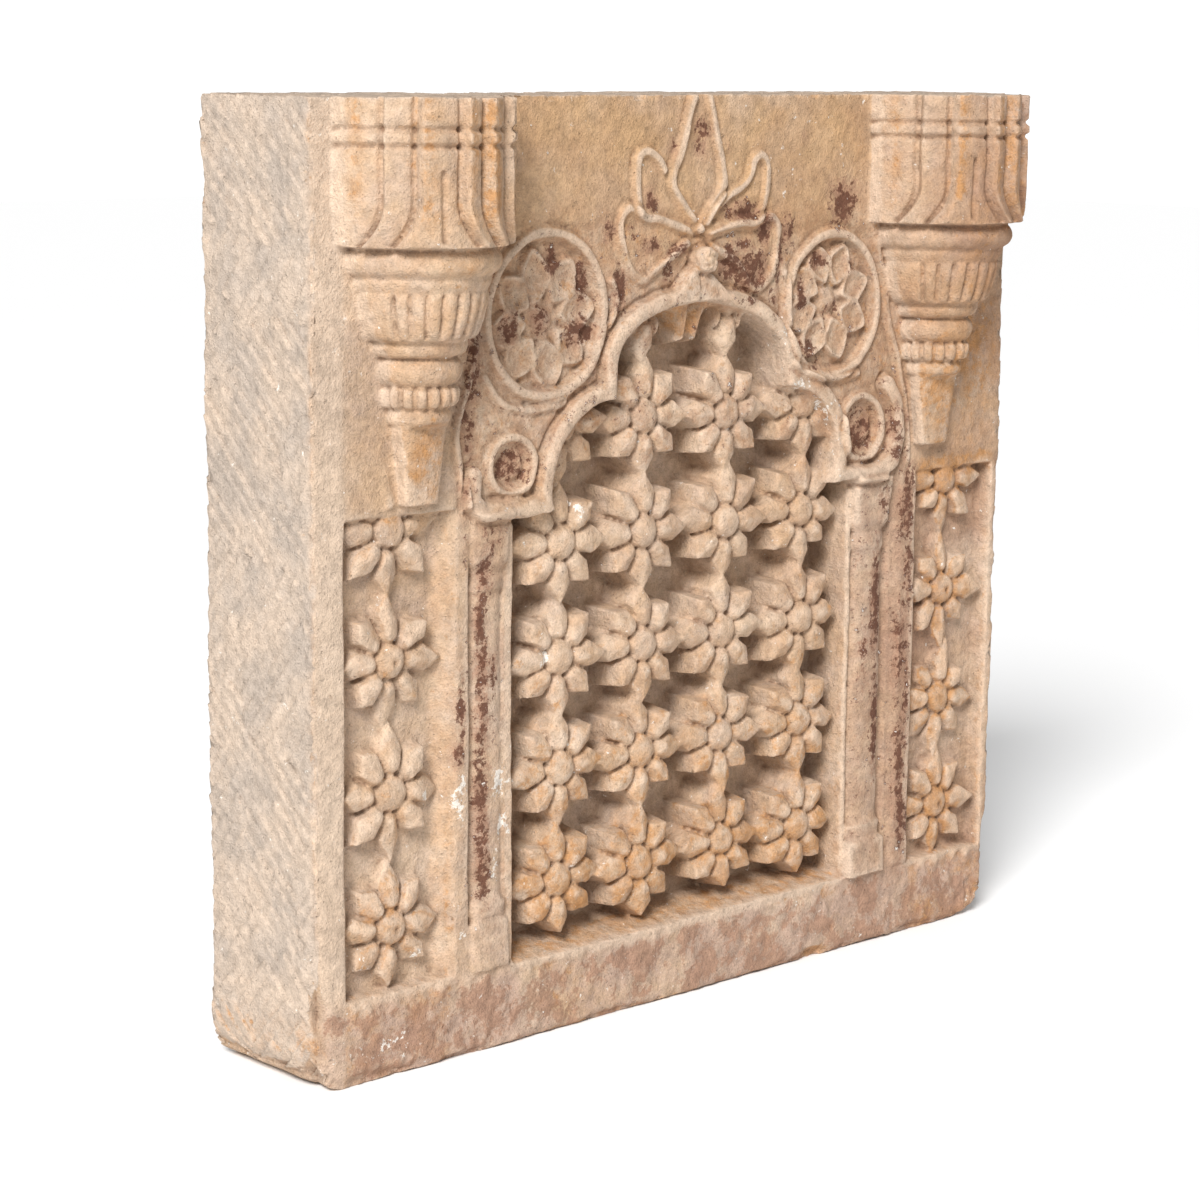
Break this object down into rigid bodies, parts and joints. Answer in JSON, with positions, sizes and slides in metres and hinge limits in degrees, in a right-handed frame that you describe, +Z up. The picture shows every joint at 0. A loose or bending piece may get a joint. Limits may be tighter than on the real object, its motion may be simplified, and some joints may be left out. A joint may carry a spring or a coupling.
{
  "type": "stone jali panel",
  "caption": "Carved sandstone slab with a cusped niche of interlaced star flowers between slim pilasters, half-round capitals at the top and a leafy finial.",
  "frame": {"origin": "middle of the slab's flat underside", "axes": "+X along the face to the viewer's right, +Y from the carved face to the back, +Z up"},
  "size_m": [0.6, 0.1615, 0.572],
  "materials": {
    "sandstone": "matte"
  },
  "bodies": {
    "root": {"jali_panel": "sandstone"}
  },
  "joints": []
}
